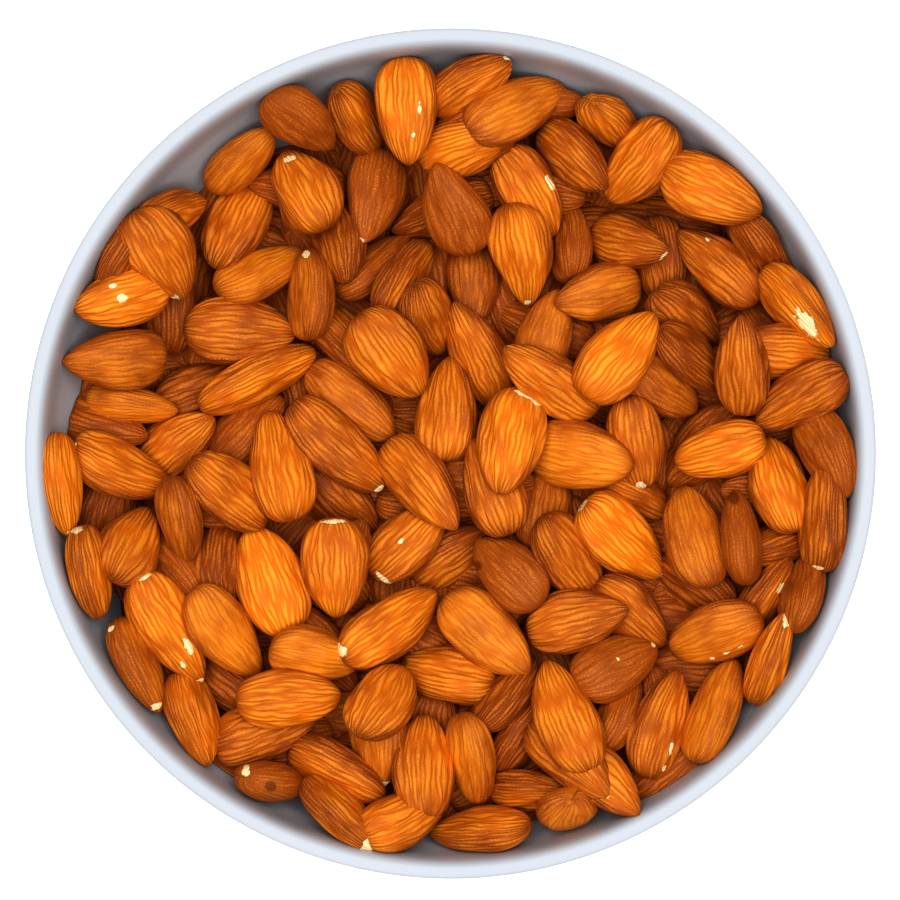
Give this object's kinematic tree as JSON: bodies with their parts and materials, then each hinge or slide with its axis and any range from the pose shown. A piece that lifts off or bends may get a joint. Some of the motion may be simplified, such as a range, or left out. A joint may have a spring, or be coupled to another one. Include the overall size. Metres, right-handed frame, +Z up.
{
  "type": "bowl of almonds",
  "caption": "Round white porcelain bowl on a foot ring, heaped nearly to its rim with whole shelled almonds.",
  "frame": {"origin": "on the bowl's axis, in the plane that its foot ring stands on", "axes": "+Z up along the bowl's axis; seen from above, +X is the picture's right and +Y its top"},
  "size_m": [0.18, 0.18, 0.0644],
  "materials": {
    "bowl_glaze": "glossy white glazed porcelain with a faint cool tint",
    "almond_skin": "raw orange-brown almond skin, ridged along its length, with cream chips"
  },
  "bodies": {
    "root": {"bowl": "bowl_glaze", "almonds": "almond_skin"}
  },
  "joints": []
}
